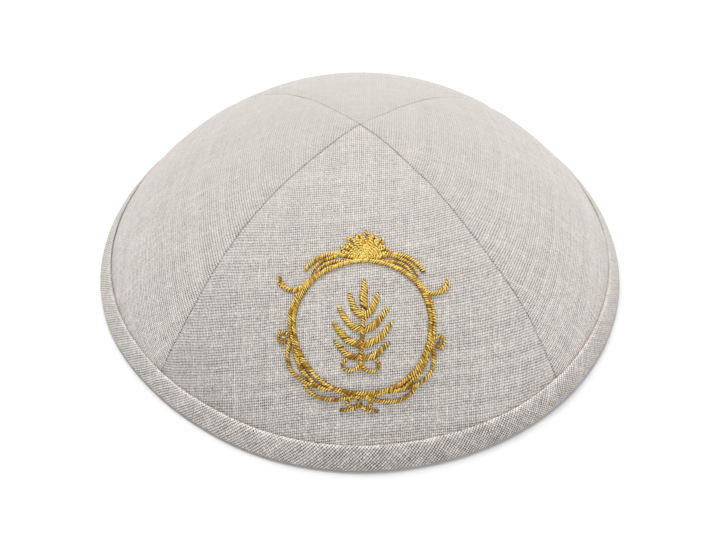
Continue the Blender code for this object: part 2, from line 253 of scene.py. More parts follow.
# Gold thread: its tones from dark to bright, spanning its painted shade and painted highlights, and
# the length of its ply in mm
GOLD_TONES = ((0.11, 0.045, 0.003, 1), (0.48, 0.252, 0.016, 1), (1.0, 0.735, 0.19, 1))
PLY_LENGTH = 0.45

# Satin stitches in mm: their step and thread, their slant as a share of their width, the sink
# of their ends, and the length of a twist
STITCH_STEP = 0.33
THREAD_WIDTH = 0.39
THREAD_HEIGHT = 0.30
STITCH_RINGS = 7
STITCH_SIDES = 6
SLANT = 0.75
END_SINK = 0.10
TWIST_LENGTH = 0.62

# How much stitches differ from one another
WIDTH_SPREAD = 0.13
SLANT_SPREAD = 0.18
TWIST_STRAY = 0.30
RISE_SPREAD = 0.09
ROUTE_STRAY = 0.045

# Their tone: its middle, its swing of painted light and shade with the twist, its spread, and its
# gain for a mm of rise, painted shade that deepens towards the ornament's bottom
STITCH_TONE = 0.47
TWIST_PAINTED_LIGHT = 0.60
TONE_SPREAD = 0.15
RISE_PAINTED_LIGHT = 0.010

# Floor, in metres, with its glow, and the painted contact shadow that darkens it close to the cap:
# over what distance, towards which side, and from which openness to which tone
FLOOR_SIZE = 4.0
FLOOR_DROP = 0.00002
FLOOR_GLOW = 0.13
CONTACT_REACH = 0.0095
CONTACT_TOWARD = (-0.24, 0.54, 0.81)
CONTACT_OPEN = (0.46, 1.0)
CONTACT_SHADOW_TONE = (0.53, 0.94)

# Surround: strength, gain towards +X and +Y, and the pale band at the horizon
WORLD_BASE = 0.47
WORLD_RIGHT = 0.19
WORLD_BACK = -0.27
HORIZON = 1.0
HORIZON_BAND = (0.20, 0.34)

# Name, direction it comes from in degrees about Z, height, softness and power
SUNS = (
    ("key", 112, 58, 24, 2.15),
    ("back", 68, 58, 28, 0.40),
    ("side", 0, 45, 40, 0.28),
)

# Heights in mm of strokes over one another, and seeds of the stitches
RING_LAYER = 0.12
STROKE_LAYER = 0.03
FRAME_SEED = 7
MOTIF_SEED = 8

# The strip's unevenness in mm: sway and ripples, slow and quick outside, and inside
EDGE_SWAY = (0.16, 0.05)
RIPPLE = (0.10, 0.04)
INNER_SWAY = 0.2
INNER_RIPPLE = 0.06


def smooth(share):
    """Ease from 0 to 1 as the share goes from 0 to 1."""
    clipped = np.clip(share, 0.0, 1.0)
    return clipped * clipped * (3 - 2 * clipped)


def field(x, y, seed, wrap=None):
    """Smooth random values from -1 to 1 with a bump for each unit of x and y."""
    table = np.random.RandomState(seed).uniform(-1, 1, (256, 256))
    x, y = np.broadcast_arrays(np.asarray(x, float), np.asarray(y, float))
    column, row = np.floor(x).astype(int), np.floor(y).astype(int)
    fx, fy = smooth(x - column), smooth(y - row)

    def at(i, j):
        if wrap:
            i = i % wrap
        return table[i % 256, j % 256]

    low = at(column, row) * (1 - fx) + at(column + 1, row) * fx
    high = at(column, row + 1) * (1 - fx) + at(column + 1, row + 1) * fx
    return low * (1 - fy) + high * fy


def turned_profile():
    """Arc length, radius and height along the crown, from its top to the rim."""
    share = np.linspace(0, 1, MERIDIAN_STEPS + 1)
    slope = RIM_TURN * ((share[1:] + share[:-1]) / 2) ** TURN_POWER
    out = np.concatenate(([0], np.cumsum(np.cos(slope))))
    down = np.concatenate(([0], np.cumsum(np.sin(slope))))
    foot = FOOT_ROUND / math.tan(RIM_TURN) - BINDING_PROUD / math.sin(RIM_TURN)
    radius = out * (RIM_DIAMETER / 2 + foot) / out[-1]
    height = CROWN_HEIGHT * (1 - down / down[-1])
    arc = np.concatenate(([0], np.cumsum(np.hypot(np.diff(radius), np.diff(height)))))
    return arc, radius, height


ARC, RADIUS, HEIGHT = turned_profile()
RIM_ARC = ARC[-1]
BINDING_TOP = RIM_ARC - BINDING_WIDTH
EDGE_TUCK = CLEARANCE + BINDING_CLOTH - BINDING_PROUD
RIM_SLOPE = math.atan2(HEIGHT[-2] - HEIGHT[-1], RADIUS[-1] - RADIUS[-2])
PANEL_EDGE = RIM_ARC - (
    BINDING_CLOTH + CLEARANCE + (EDGE_TUCK + PANEL_CLOTH) * math.cos(RIM_SLOPE)
) / math.sin(RIM_SLOPE)

# Lifts of the faces of the strip's two legs, and the depth of the channel between them
OUTER_IN = CLEARANCE - EDGE_TUCK
OUTER_OUT = OUTER_IN + BINDING_CLOTH
INNER_OUT = -EDGE_TUCK - PANEL_CLOTH - CLEARANCE
INNER_IN = INNER_OUT - BINDING_CLOTH
CHANNEL = PANEL_EDGE + CLEARANCE - BINDING_TOP

# The strip's columns: angle about Z, and share of the way round
STRIP_TURN = np.linspace(0, 2 * math.pi, BINDING_COLUMNS, endpoint=False)
STRIP_SHARE = STRIP_TURN / (2 * math.pi)


def extended(arc, values):
    """Values along the crown's profile, carried straight on past its two ends."""
    before = values[0] + (arc - ARC[0]) * (values[1] - values[0]) / (ARC[1] - ARC[0])
    after = values[-1] + (arc - ARC[-1]) * (values[-1] - values[-2]) / (ARC[-1] - ARC[-2])
    inside = np.interp(arc, ARC, values)
    return np.where(arc < ARC[0], before, np.where(arc > ARC[-1], after, inside))


def bulge(arc, angle):
    """How far the cloth stands out at its rim, in metres."""
    degrees = np.arange(-180, 181)
    values = np.interp(degrees, *zip(*RIM_BULGE))
    values = np.convolve(values, np.ones(BULGE_BLUR) / BULGE_BLUR, mode="same")
    stand = np.interp((np.degrees(angle) + 180) % 360 - 180, degrees, values)
    return stand * MM * smooth((arc - RIM_ARC) / BULGE_REACH + 1)


def crown(arc, angle, lift):
    """Points off the crown's outer face, for arrays of arc, angle about Z and lift."""
    arc, angle, lift = np.broadcast_arrays(arc, angle, lift)
    step = RIM_ARC / MERIDIAN_STEPS
    run = extended(arc + step, RADIUS) - extended(arc - step, RADIUS)
    drop = extended(arc - step, HEIGHT) - extended(arc + step, HEIGHT)
    length = np.hypot(run, drop)
    radius = extended(arc, RADIUS) + lift * drop / length + bulge(arc, angle)
    height = extended(arc, HEIGHT) + lift * run / length
    return np.stack([radius * np.cos(angle), radius * np.sin(angle), height], axis=-1)


def grid_faces(rows, columns, start=0, closed=False, flip=False):
    """Quads of a grid of vertices numbered row by row. A closed grid joins its last column on."""
    row, column = np.meshgrid(np.arange(rows - 1), np.arange(columns - (not closed)), indexing="ij")
    after = (column + 1) % columns
    quads = np.stack([row * columns + column, row * columns + after,
                      (row + 1) * columns + after, (row + 1) * columns + column], axis=-1)
    quads = quads.reshape(-1, 4) + start
    return quads[:, ::-1] if flip else quads


def make_mesh(name, points, faces, uvs, material, node, slot, **shares):
    """A smooth piece from arrays of points, faces, one UV for each point and named shares."""
    mesh = bpy.data.meshes.new(name)
    sizes = np.concatenate([np.full(len(group), group.shape[1]) for group in faces])
    loops = np.concatenate([group.ravel() for group in faces])
    mesh.vertices.add(len(points))
    mesh.vertices.foreach_set("co", np.asarray(points, np.float32).ravel())
    mesh.loops.add(len(loops))
    mesh.loops.foreach_set("vertex_index", loops.astype(np.int32))
    mesh.polygons.add(len(sizes))
    starts = np.concatenate(([0], np.cumsum(sizes)[:-1]))
    mesh.polygons.foreach_set("loop_start", starts.astype(np.int32))
    layer = mesh.uv_layers.new(name="cloth_mm")
    layer.data.foreach_set("uv", np.asarray(uvs, np.float32)[loops].ravel())
    for key, values in shares.items():
        attribute = mesh.attributes.new(key, "FLOAT", "POINT")
        attribute.data.foreach_set("value", np.asarray(values, np.float32))
    mesh.update(calc_edges=True)
    mesh.validate()
    mesh.shade_smooth()
    mesh.materials.append(material)
    piece = bpy.data.objects.new(name, mesh)
    bpy.context.scene.collection.objects.link(piece)
    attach(piece, "root")
    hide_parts(node)
    return piece


# Materials

class Shader:
    """Nodes of a material or of the world, with short calls to make them."""

    def __init__(self, owner):
        owner.use_nodes = True
        self.owner = owner
        self.tree = owner.node_tree
        self.surface = self.tree.nodes.get("Principled BSDF")

    def node(self, kind, **settings):
        made = self.tree.nodes.new(kind)
        for key, value in settings.items():
            setattr(made, key, value)
        return made

    def put(self, socket, value):
        """Link a socket, or set its number or colour."""
        if isinstance(value, bpy.types.NodeSocket):
            self.tree.links.new(value, socket)
        else:
            socket.default_value = value

    def math(self, operation, *values, clamp=False):
        made = self.node("ShaderNodeMath", operation=operation, use_clamp=clamp)
        for socket, value in zip(made.inputs, values):
            self.put(socket, value)
        return made.outputs[0]

    def scaled(self, value, scale, shift=0.0):
        return self.math("MULTIPLY_ADD", value, scale, shift)

    def place(self, x, y):
        made = self.node("ShaderNodeCombineXYZ")
        self.put(made.inputs["X"], x)
        self.put(made.inputs["Y"], y)
        return made.outputs[0]

    def noise(self, x, y, detail=1.0, output="Fac"):
        made = self.node("ShaderNodeTexNoise", noise_dimensions="2D")
        self.put(made.inputs["Vector"], self.place(x, y))
        made.inputs["Scale"].default_value = 1.0
        made.inputs["Detail"].default_value = detail
        return made.outputs[output]

    def strays(self, x, y, detail):
        """Three smooth random values from 0 to 1."""
        made = self.node("ShaderNodeSeparateColor")
        self.put(made.inputs[0], self.noise(x, y, detail, "Color"))
        return made.outputs

    def random(self, value):
        made = self.node("ShaderNodeTexWhiteNoise", noise_dimensions="1D")
        self.put(made.inputs["W"], value)
        return made.outputs["Value"]

    def spread(self, value, low, high, out_low=0.0, out_high=1.0, kind="SMOOTHSTEP"):
        made = self.node("ShaderNodeMapRange", interpolation_type=kind)
        for socket, item in zip(made.inputs, (value, low, high, out_low, out_high)):
            self.put(socket, item)
        return made.outputs[0]

    def blend(self, share, first, second):
        made = self.node("ShaderNodeMix", data_type="RGBA")
        self.put(made.inputs["Factor"], share)
        self.put(made.inputs[6], first)
        self.put(made.inputs[7], second)
        return made.outputs[2]

    def attribute(self, name):
        return self.node("ShaderNodeAttribute", attribute_name=name).outputs["Fac"]

    def uv(self):
        made = self.node("ShaderNodeUVMap", uv_map="cloth_mm")
        parts = self.node("ShaderNodeSeparateXYZ")
        self.tree.links.new(made.outputs[0], parts.inputs[0])
        return parts.outputs["X"], parts.outputs["Y"]

    def bump(self, height, strength, distance):
        made = self.node("ShaderNodeBump")
        made.inputs["Strength"].default_value = strength
        made.inputs["Distance"].default_value = distance
        self.put(made.inputs["Height"], height)
        self.put(self.surface.inputs["Normal"], made.outputs[0])

    def finish(self, values):
        """The material, with plain numbers set on its surface's own sockets."""
        for name, value in values.items():
            self.surface.inputs[name].default_value = value
        return self.owner


def linen(name, color, weft_line):
    """Plain-woven linen: uneven threads that pass over and under, slubs and open corners, with
    painted shade between the threads and painted light on their tops.
    """
    shader = Shader(bpy.data.materials.new(name))
    u, v = shader.uv()
    drift = shader.strays(shader.scaled(u, DRIFT_SCALE), shader.scaled(v, DRIFT_SCALE), 2.0)
    jitter = shader.strays(shader.scaled(u, JITTER_SCALE), shader.scaled(v, JITTER_SCALE), 1.0)

    def wandered(value, channel):
        """A place across the threads, with their drift and jitter."""
        broad = shader.scaled(drift[channel], DRIFT, -DRIFT / 2)
        fine = shader.scaled(jitter[channel], JITTER, -JITTER / 2)
        return shader.math("ADD", value, shader.math("ADD", broad, fine))

    def thread(across, along, seed, slub_length, slub_tone, width):
        """Number of the thread at this place, place inside it, its height and its tone."""
        number = shader.math("FLOOR", across)
        inside = shader.math("FRACT", across)
        own = shader.random(shader.math("ADD", number, seed))
        place = shader.scaled(number, 7.31, seed)
        slub = shader.noise(place, shader.scaled(along, 1 / slub_length), 2.0)
        slub = shader.spread(slub, 0.60, 0.72)
        place = shader.scaled(number, 3.17, seed + 9.0)
        fine = shader.noise(place, shader.scaled(along, 0.8), 1.0)
        fine = shader.math("SUBTRACT", fine, 0.5)
        tone = -0.06
        shares = (own, 0.10, 0.12), (slub, 0.08, slub_tone), (fine, 0.22, 0.28)
        for amount, wider, lighter in shares:
            width = shader.scaled(amount, wider, width)
            tone = shader.scaled(amount, lighter, tone)
        offset = shader.math("DIVIDE", shader.math("SUBTRACT", inside, 0.5), width)
        hump = shader.math("SUBTRACT", 1.0, shader.math("MULTIPLY", offset, offset), clamp=True)
        return number, inside, hump, tone

    warp = shader.scaled(wandered(u, 0), 1 / WARP_PITCH)
    weft = shader.scaled(wandered(v, 1), 1 / WEFT_PITCH)
    warp_number, warp_inside, warp_hump, warp_tone = thread(warp, v, *WARP)
    weft_number, weft_inside, weft_hump, weft_tone = thread(weft, u, *WEFT)
    odd = shader.math("FLOORED_MODULO", shader.math("ADD", warp_number, weft_number), 2.0)
    over = shader.scaled(odd, 2.0, -1.0)

    def height(hump, other_inside, sign):
        """Height of a thread's round top, as it passes over and under the others."""
        wave = shader.math("SINE", shader.math("MULTIPLY", other_inside, math.pi))
        wave = shader.math("MULTIPLY", wave, over)
        raised = shader.scaled(wave, 0.45 * sign, -0.45)
        return shader.math("ADD", shader.math("POWER", hump, 0.5), raised)

    def gap(hump):
        return shader.math("SUBTRACT", 1.0, shader.math("POWER", hump, 0.6))

    warp_height = height(warp_hump, weft_inside, 1)
    weft_height = height(weft_hump, warp_inside, -1)
    top = shader.math("MAXIMUM", warp_height, weft_height)
    on_top = shader.spread(shader.math("SUBTRACT", warp_height, weft_height), -0.15, 0.15)
    warp_gap, weft_gap = gap(warp_hump), gap(weft_hump)
    crossing = shader.math("MULTIPLY", weft_number, 7.77)
    crossing = shader.random(shader.scaled(warp_number, 13.37, crossing))
    cloud = shader.noise(shader.scaled(u, 0.045, 5.0), shader.scaled(v, 0.045, 3.0), 3.0)

    # Painted light on the threads' round tops; painted shade in the lines between threads, in the
    # open corners and on the warp where it lies on top; each crossing has a tone of its own
    tone = shader.scaled(on_top, shader.math("SUBTRACT", warp_tone, weft_tone), weft_tone)
    for amount, weight in (
        (top, 0.16),
        (warp_gap, -0.36),
        (weft_gap, -weft_line),
        (shader.math("MULTIPLY", warp_gap, weft_gap), -1.35),
        (on_top, -0.13),
        (crossing, 0.28),
        (1.0, 0.32),
        (shader.math("SUBTRACT", cloud, 0.5), 0.10),
        (shader.attribute("shade"), 0.34),
    ):
        tone = shader.scaled(amount, weight, tone)
    light = shader.scaled(tone, shader.attribute("weave_depth"), 1.0)
    light = shader.math("MINIMUM", shader.math("MAXIMUM", light, DARKEST), LIGHTEST)
    brightest = [min(1.0, channel * LIGHTEST) for channel in color[:3]]
    mixed = shader.blend(shader.math("DIVIDE", light, LIGHTEST), DEEP_TONE, (*brightest, 1))
    shader.put(shader.surface.inputs["Base Color"], mixed)
    shader.bump(top, 0.5, 0.12 * MM)
    return shader.finish({
        "Roughness": 0.88,
        "Specular IOR Level": 0.18,
        "Sheen Weight": 0.12,
        "Sheen Roughness": 0.6,
    })


def gold_thread():
    """Glossy twisted embroidery thread, each stitch lighter or darker than the next by its own tone
    and by painted light and shade, with faint painted light and shade along each ply.
    """
    shader = Shader(bpy.data.materials.new("gold_thread_satin"))
    u, v = shader.uv()
    # The ply's twist, used as a bump and as faint painted light and shade along the thread
    ply = shader.math("MULTIPLY", v, 2 * math.pi * 2)
    ply = shader.math("SINE", shader.scaled(u, 2 * math.pi / PLY_LENGTH, ply))
    fibre = shader.noise(shader.math("MULTIPLY", u, 3.0), shader.math("MULTIPLY", v, 14.0), 2.0)
    share = shader.scaled(shader.math("SUBTRACT", fibre, 0.5), 0.5, shader.attribute("shade"))
    share = shader.math("MULTIPLY_ADD", ply, 0.07, share, clamp=True)
    dark, middle, bright = GOLD_TONES
    low = shader.blend(shader.spread(share, 0.0, 0.5, kind="LINEAR"), dark, middle)
    color = shader.blend(shader.spread(share, 0.5, 1.0, kind="LINEAR"), low, bright)
    shader.put(shader.surface.inputs["Base Color"], color)
    shader.bump(shader.scaled(fibre, 0.5, ply), 0.35, 0.03 * MM)
    return shader.finish({"Roughness": 0.36, "Metallic": 0.3, "Specular IOR Level": 0.4})


# Embroidery routes

def smooth_route(places, closed=False):
    """Points of the smooth curve through some places in millimetres, a stitch's step apart."""
    places = np.asarray(places, float)
    if closed:
        places = np.vstack([places[-1], places, places[0], places[1]])
    else:
        places = np.vstack([2 * places[0] - places[1], places, 2 * places[-1] - places[-2]])
    t = np.linspace(0, 1, 24, endpoint=False)[:, None]
    line = []
    for before, start, end, after in zip(places, places[1:], places[2:], places[3:]):
        line.append(0.5 * (2 * start + (end - before) * t
                           + (2 * before - 5 * start + 4 * end - after) * t ** 2
                           + (3 * start - before - 3 * end + after) * t ** 3))
    line.append(places[1 if closed else -2][None])
    line = np.vstack(line)
    length = np.concatenate(([0], np.cumsum(np.hypot(*np.diff(line, axis=0).T))))
    count = max(3, round(length[-1] / STITCH_STEP))
    even = np.linspace(0, length[-1], count, endpoint=not closed)
    return np.stack([np.interp(even, length, line[:, axis]) for axis in (0, 1)], axis=-1)


def strokes_of(table):
    """Each stroke's route in mm, width, tip share and kind, with its mirror image."""
    half = RING_HALF_WIDTH / MM
    for _, paired, width, tip, route in table:
        for side in (1, -1) if paired else (1,):
            places = [(side * across * half, -down * half) for across, down in route]
            yield smooth_route(places), width * STRAND_STITCH / MM, tip, "strand"


def ring_stroke(outside, width):
    """The ring, or the second strand that runs round just outside it."""
    turns = np.radians(np.arange(len(outside)) * 360.0 / len(outside))
    reach = (np.array(RING_REACH) + outside) * RING_HALF_WIDTH / MM
    places = np.stack([reach * np.sin(turns), reach * np.cos(turns)], axis=-1)
    return smooth_route(places, closed=True), width, 1.0, "ring"


def crest_strokes():
    """Petals of the crest, outer ones first, each of two strands, and the drop at their middle."""
    half = RING_HALF_WIDTH / MM
    foot = np.array([CREST_FOOT[0], -CREST_FOOT[1]]) * half
    for lean, length in sorted(CREST_PETALS, key=lambda petal: -abs(petal[0])):
        turn = math.radians(lean)
        away = np.array([math.sin(turn), math.cos(turn)]) * length * half
        aside = np.array([away[1], -away[0]])
        for side in (-1, 1):
            places = [foot + away * 0.12, foot + away * 0.45 + aside * 0.085 * side,
                      foot + away * 0.78 + aside * 0.10 * side, foot + away + aside * 0.02 * side]
            yield smooth_route(places), PETAL_WIDTH, 0.8, "strand"
    places = [foot + (0, rise * half) for rise in (0.04, 0.13, 0.22)]
    yield smooth_route(places), DROP_WIDTH, 1.0, "petal"


FRAME_ROUTES = [
    *crest_strokes(),
    *strokes_of(FRAME_STROKES),
    ring_stroke(RING_SECOND, SECOND_WIDTH),
    ring_stroke((0.0,) * len(RING_REACH), RING_WIDTH),
]
MOTIF_ROUTES = list(strokes_of(MOTIF_STROKES))
RING_ARC = RIM_ARC - RING_RISE


def on_panel(x, y):
    """Place across the front panel's centre line and arc, in mm, of a place in the ornament."""
    cos_turn, sin_turn = math.cos(ORNAMENT_TURN), math.sin(ORNAMENT_TURN)
    across = RING_SHIFT / MM + x * cos_turn + y * sin_turn
    rise = y * cos_turn - x * sin_turn
    return across, RING_ARC / MM - rise


ALL_ROUTES = np.vstack([route[0] for route in FRAME_ROUTES + MOTIF_ROUTES])
ROUTE_ACROSS, ROUTE_ARC = on_panel(*ALL_ROUTES.T)


# Panels

def seam_offset(name, arc):
    """Sideways stray of a seam at an arc, in metres."""
    shares, values = zip(*SEAM_WANDER[name])
    shares = [0.0, *shares, 1.0]
    values = [0.0, *values, 0.0]
    fine = np.linspace(0, 1, 60)
    line = np.interp(fine, shares, values)
    line = np.convolve(np.pad(line, 2, mode="edge"), np.ones(5) / 5, mode="valid")
    seed = 60 + list(SEAM_WANDER).index(name)
    stitch = STITCH_STRAY * field(arc / MM / STITCH_PITCH, 0.5, seed)
    return (np.interp(arc / RIM_ARC, fine, line) + stitch * smooth(arc / (4 * MM))) * MM


def tuck_at(arc):
    """How far the panels are drawn in to the binding, which lies against them at its fold."""
    return (EDGE_TUCK - FOLD_CONTACT) * smooth((arc - BINDING_TOP + TUCK_LENGTH) / TUCK_LENGTH)


def wave(shape, first, second, seed, share=1.0):
    """Smooth unevenness in mm, from its height and its length in each of two directions."""
    height, first_length, second_length = shape
    return height * share * field(first / first_length, second / second_length, seed)


def broad_lift(arc, across, seam, seed):
    """Lift of a panel's cloth away from its seams' own roll, in metres.

    arc and across are in metres, and seam is the distance to the nearer seam.
    """
    a, x, d = arc / MM, across / MM, seam / MM
    free = smooth(d / FREE_AT)
    lift = wave(BROAD_WAVE, x, a, seed, free) + wave(SMALL_WAVE, x, a, seed + 1, free)
    lift -= SEAM_VALLEY * (1 - smooth(d / VALLEY_REACH))
    lift += wave(SEAM_PUCKER, a, x, seed + 2) * np.exp(-d / PUCKER_REACH) * smooth(a / 10)
    low = (BINDING_TOP / MM - a) / 5.0
    lift += wave(STRIP_PUCKER, x, a, seed + 3) * np.exp(-np.abs(low)) * free
    return lift * MM - tuck_at(arc)


def facing(angle):
    """Share of the weave's full strength at an angle about Z, most at the front."""
    return WEAVE_BACK + (1 - WEAVE_BACK) * (0.5 + 0.5 * np.cos(angle - FRONT)) ** WEAVE_FADE


def press_of_stitches(arc, across):
    """How far the cloth is drawn down beside the stitches, in metres."""
    depth = np.zeros(arc.shape)
    near = (np.abs(arc / MM - RING_ARC / MM) < 34) & (np.abs(across / MM) < 30)
    a, x = arc[near] / MM, across[near] / MM
    reach = np.full(a.shape, 99.0)
    for start in range(0, len(ROUTE_ARC), 200):
        part = slice(start, start + 200)
        gap = np.hypot(a[:, None] - ROUTE_ARC[part], x[:, None] - ROUTE_ACROSS[part])
        reach = np.minimum(reach, gap.min(axis=1))
    depth[near] = PRESS_DEPTH * MM * np.exp(-(reach / PRESS_REACH) ** 2)
    return depth


def grain(arc, angle, tilt):
    """Places in the cloth, in mm across and along its grain, of a panel's points.

    Near the top the cloth lies as it was cut, with straight threads. Further down, the weft
    bows as measured on the photograph.
    """
    s = arc / MM
    x = angle * np.interp(arc, ARC, RADIUS) / MM
    top_u = DOME * np.arcsin(np.sin(s / DOME) * np.sin(angle))
    top_v = DOME * np.arctan(np.tan(s / DOME) * np.cos(angle))
    low_v = s - WEFT_BOW * WEFT_REACH * np.log(np.cosh(x / WEFT_REACH))
    low = smooth((s - BOW_FROM) / BOW_OVER)
    u = top_u + (x - top_u) * low
    return u, top_v + (low_v - top_v) * low + tilt * x


def panel_grid(panel):
    """Arc, angle from the panel's middle, place across it and width, in mm, of its points."""
    arc = np.concatenate((
        [TOP_HOLE * MM, 0.3 * MM, 0.6 * MM],
        np.linspace(1.0 * MM, BINDING_TOP - 0.6 * MM, panel.rows),
        np.linspace(BINDING_TOP - 0.2 * MM, PANEL_EDGE, 5),
    ))
    radius = np.interp(arc, ARC, RADIUS)
    left = -math.pi / 4 + seam_offset(panel.left_seam, arc) / radius
    right = math.pi / 4 + seam_offset(panel.right_seam, arc) / radius
    width = ((right - left) * radius / MM)[:, None]
    near = np.array(SEAM_COLUMNS)
    scale = np.minimum(1.0, width / (near[-1] * 3.2))
    edge = near * scale + SEAM_GAP * scale / 2
    first, last = edge[:, -1:], width - edge[:, -1:]
    middle = first + (last - first) * np.linspace(0, 1, panel.columns)[1:-1]
    place = np.hstack([edge, middle, width - edge[:, ::-1]])
    angle = left[:, None] + place * MM / radius[:, None]
    return np.broadcast_to(arc[:, None], angle.shape), angle, place, width


def closed_wall(rows, columns):
    """Faces of an outer and an inner grid of points and of the border between them."""
    total = rows * columns
    number = np.arange(total).reshape(rows, columns)
    border = np.concatenate([number[0], number[1:, -1], number[-1, -2::-1], number[-2:0:-1, 0]])
    after = np.roll(border, -1)
    return [
        grid_faces(rows, columns, flip=True),
        grid_faces(rows, columns, start=total),
        np.stack([border, after, after + total, border + total], axis=-1),
    ]


def make_panel(panel, index, material):
    """One gore: an outer and an inner face, rolled into the seams and joined at the edges."""
    arcs, angle, place, width = panel_grid(panel)
    across = angle * np.interp(arcs, ARC, RADIUS)
    seam = np.minimum(place, width - place) * MM
    seed = PANEL_SEED + 10 * index
    lift = broad_lift(arcs, across, seam, seed)

    # The edges roll in, with a pull and a pinch that differ from stitch to stitch
    d = seam / MM
    into = np.clip(SEAM_ROLL - d, 0, None)
    roll = SEAM_ROLL - np.sqrt(np.clip(SEAM_ROLL ** 2 - into ** 2, 0, None))
    depth = np.where(place < width / 2, SEAM_DEPTH[panel.left_seam], SEAM_DEPTH[panel.right_seam])
    pull = 1 + 0.25 * field(arcs / MM / 1.1, np.sign(across) * 5.0, seed + 4)
    pinch = 1 + field(arcs / MM / 1.2, np.sign(across) * 9.0, seed + 5)
    roll *= depth
    outer = lift - roll * pull * MM
    outer -= PINCH * MM * pinch * np.exp(-d / PINCH_REACH) * depth
    if panel.name == "front":
        outer -= press_of_stitches(arcs, across)

    # Inside, the seam allowances lie as low ridges as far as the binding
    allowance = smooth((d - 0.3) / 0.5) * (1 - smooth((d - ALLOWANCE_WIDTH) / 0.5))
    allowance *= arcs < BINDING_TOP + MM
    inner = lift - PANEL_CLOTH - ALLOWANCE_LIFT * MM * allowance - 0.3 * roll * MM

    turned = panel.centre + angle
    points = np.vstack([
        crown(arcs, turned, outer).reshape(-1, 3),
        crown(arcs, turned, inner).reshape(-1, 3),
    ])
    u, v = grain(arcs, angle, panel.tilt)
    uv = np.stack([u + PANEL_SHIFT[0] * index, v + PANEL_SHIFT[1] * index], axis=-1).reshape(-1, 2)
    low = smooth(arcs / RIM_ARC)
    weave = ((WEAVE_TOP + (WEAVE_RIM - WEAVE_TOP) * low) * facing(turned)).ravel()
    # Painted shade and light, strongest at the foot: darker at the front and more so towards its
    # left, lighter on the right and left gores
    shade = panel.foot_tone + panel.left_tone * smooth(-across / MM / LEFT_PAINTED_LIGHT_REACH)
    # Painted shade along the seam's crease, deeper where the seam is deeper
    crease_shade = CREASE_PAINTED_SHADE * depth ** 2 * np.exp(-(d / CREASE_SHADE_REACH) ** 2)
    shade = (low ** 2 * shade - crease_shade).ravel()
    return make_mesh(f"crown_{panel.name}", points, closed_wall(*angle.shape),
                     np.vstack([uv, uv + INNER_SHIFT]), material, f"panel_{panel.name}",
                     "panel_linen", shade=np.tile(shade, 2), weave_depth=np.tile(weave, 2))


# Binding

def foot_of(lift):
    """Arc at which a leg of the strip meets the round of its foot."""
    return RIM_ARC - (FOOT_ROUND - crown(RIM_ARC, 0.0, lift)[2]) / math.sin(RIM_SLOPE)


def fold_rows(middle):
    """Arc and lift of rows over the folded top of one leg, tighter on the side by the cap."""
    half = BINDING_CLOTH / 2
    for degrees in (0, 20, 45, 70, 90, 110, 130, 155, 180):
        turn = math.radians(degrees)
        height = math.sin(turn) ** (0.5 if degrees < 90 else 1.0)
        yield BINDING_TOP + half * (1 - height), middle - half * math.cos(turn)


def round_rim(bumps, seed, row=0.5):
    """Unevenness of the strip's columns, with a number of bumps round the rim."""
    return field(STRIP_SHARE * bumps, row, seed, wrap=bumps)[None, :]


def near(place, reach):
    """How near the strip's columns are to an angle about Z, 1 there and 0 far off."""
    away = np.angle(np.exp(1j * (STRIP_TURN - place)))[None, :]
    return np.exp(-(away / reach) ** 2)


def outer_leg():
    """Points of the outer leg, up its hidden side and down its face, and the painted highlight on
    its fold and painted shade on its hidden side.
    """
    # Each row has its arc, lift, share of the puff, freedom to wander, and painted light (shade
    # where below zero)
    rows = [(BINDING_TOP + CHANNEL * share, OUTER_IN, 0.0, 0.3, HIDDEN_SHADE)
            for share in np.linspace(1.0, 0.06, 6)]
    rows += [(arc, lift, 0.0, 1.0, FOLD_HIGHLIGHT)
             for arc, lift in fold_rows((OUTER_IN + OUTER_OUT) / 2)]
    face = foot_of(OUTER_OUT) - BINDING_TOP
    rows += [(BINDING_TOP + face * share, OUTER_OUT, math.sin(math.pi * share), 1 - 0.7 * share,
              FOLD_HIGHLIGHT * (1 - share) ** 10) for share in np.linspace(0.09, 1.0, 14)]
    arcs, lifts, puff, loose, fold_light_and_shade = (np.array(column)[:, None] for column in zip(*rows))
    down = np.clip((arcs - BINDING_TOP) / BINDING_WIDTH, 0, 1)
    slow, quick = round_rim(24, 501), round_rim(110, 502)
    wander = (EDGE_SWAY[0] * slow + EDGE_SWAY[1] * quick) * MM * loose
    drag = field(STRIP_SHARE * 74 + down * 2.2, down * 1.3, 503, wrap=74)
    fine = field(STRIP_SHARE * 210 + down * 3.0, down * 2.5, 504, wrap=210)
    puckered = 1 + PUCKERED_BY * near(PUCKERED_AT, PUCKERED_REACH) * (1 - down)
    ripple = (RIPPLE[0] * drag + RIPPLE[1] * fine) * puckered * MM
    swell = BINDING_PUFF * puff * (1 + 0.25 * slow) + ripple * (0.25 + puff) * (lifts > OUTER_IN)
    return crown(arcs + wander, STRIP_TURN, lifts + swell), fold_light_and_shade


def strip_foot(last):
    """Points of the foot, which lies flat on the floor between two rounds."""
    toe = np.hypot(*crown(foot_of(INNER_IN), STRIP_TURN, INNER_IN)[:, :2].T)
    rows = [(last - FOOT_ROUND * (1 - math.cos(angle)), FOOT_ROUND * (1 - math.sin(angle)))
            for angle in np.radians((18, 36, 54, 72, 90))]
    start, end = rows[-1][0], toe + 0.5 * FOOT_ROUND
    rows += [(start + (end - start) * share, 0.0) for share in (0.35, 0.7)]
    rows += [(toe + 0.6 * FOOT_ROUND * (1 - math.cos(angle)), FOOT_ROUND * (1 - math.sin(angle)))
             for angle in np.radians((90, 60, 30))]
    cos_turn, sin_turn = np.cos(STRIP_TURN), np.sin(STRIP_TURN)
    return np.stack([
        np.stack([radius * cos_turn, radius * sin_turn, np.full(BINDING_COLUMNS, height)], axis=-1)
        for radius, height in rows
    ])


